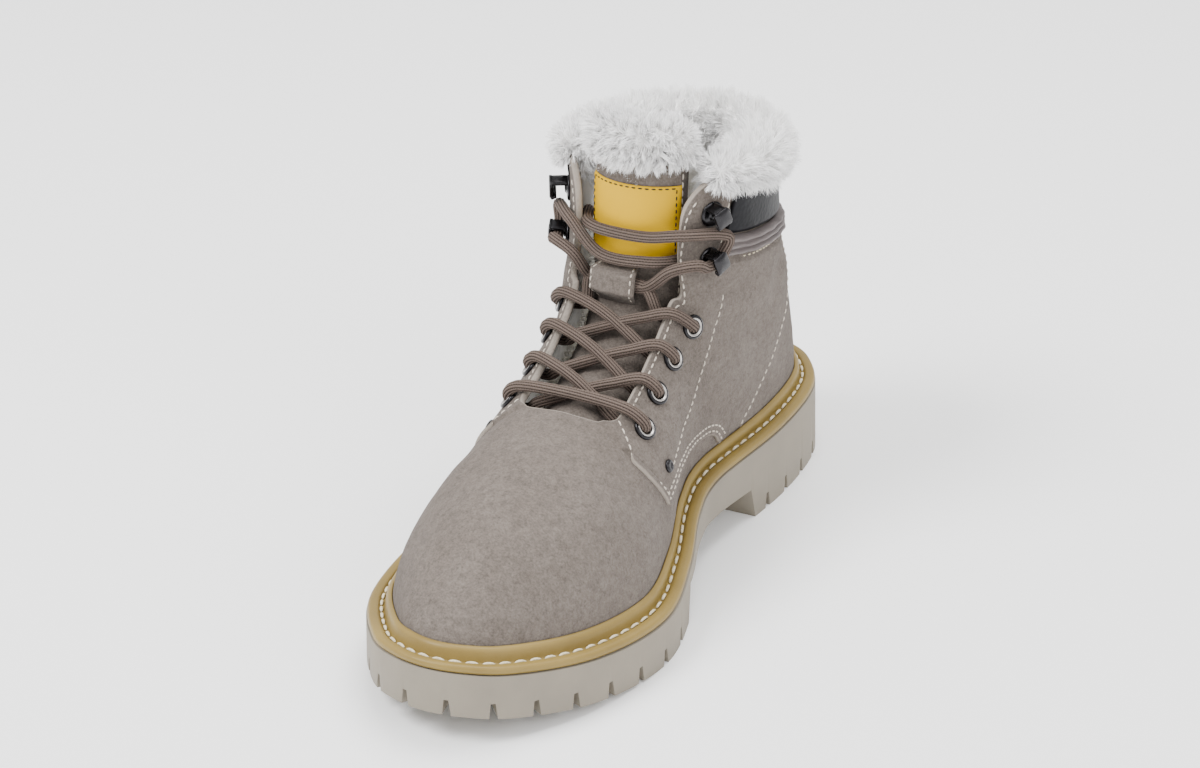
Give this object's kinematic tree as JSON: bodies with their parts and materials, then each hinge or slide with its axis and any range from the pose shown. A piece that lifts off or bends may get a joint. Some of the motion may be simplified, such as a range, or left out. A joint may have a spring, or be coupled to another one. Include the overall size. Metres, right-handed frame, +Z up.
{
  "type": "lace-up winter boot",
  "caption": "Suede lace-up winter boot for the right foot, with a lugged sole, storm welt, speed hooks and a fur collar.",
  "frame": {"origin": "on the floor, under the middle of the sole's outline", "axes": "+Z up, +Y towards the heel, +X towards the inner side of the foot"},
  "size_m": [0.1139, 0.3027, 0.1813],
  "materials": {
    "outsole": "matt moulded rubber",
    "welt": "satin",
    "suede": "suede nap",
    "black_leather": "smooth grain",
    "roll_leather": "soft satin",
    "insole": "pile",
    "label": "woven",
    "metal": "gunmetal gloss",
    "lace": "braided cord",
    "fur": "sheepskin fur"
  },
  "bodies": {
    "root": {"outsole": "outsole", "welt": "welt", "insole": "insole", "upper": "suede", "cuff": "black_leather", "padded_roll": "roll_leather", "tongue": "suede", "tongue_label": "label", "lace_keeper": "suede", "eyelet_inner_1": "metal", "eyelet_inner_2": "metal", "eyelet_inner_3": "metal", "eyelet_inner_4": "metal", "eyelet_outer_1": "metal", "eyelet_outer_2": "metal", "eyelet_outer_3": "metal", "eyelet_outer_4": "metal", "rivet_inner": "metal", "rivet_outer": "metal", "hook_inner_1": "metal", "hook_inner_2": "metal", "hook_outer_1": "metal", "hook_outer_2": "metal", "lace_bar": "lace", "lace_crossing_1": "lace", "lace_crossing_2": "lace", "lace_crossing_3": "lace", "lace_top": "lace", "fur_collar": "fur", "fur_tongue": "fur"}
  },
  "joints": []
}
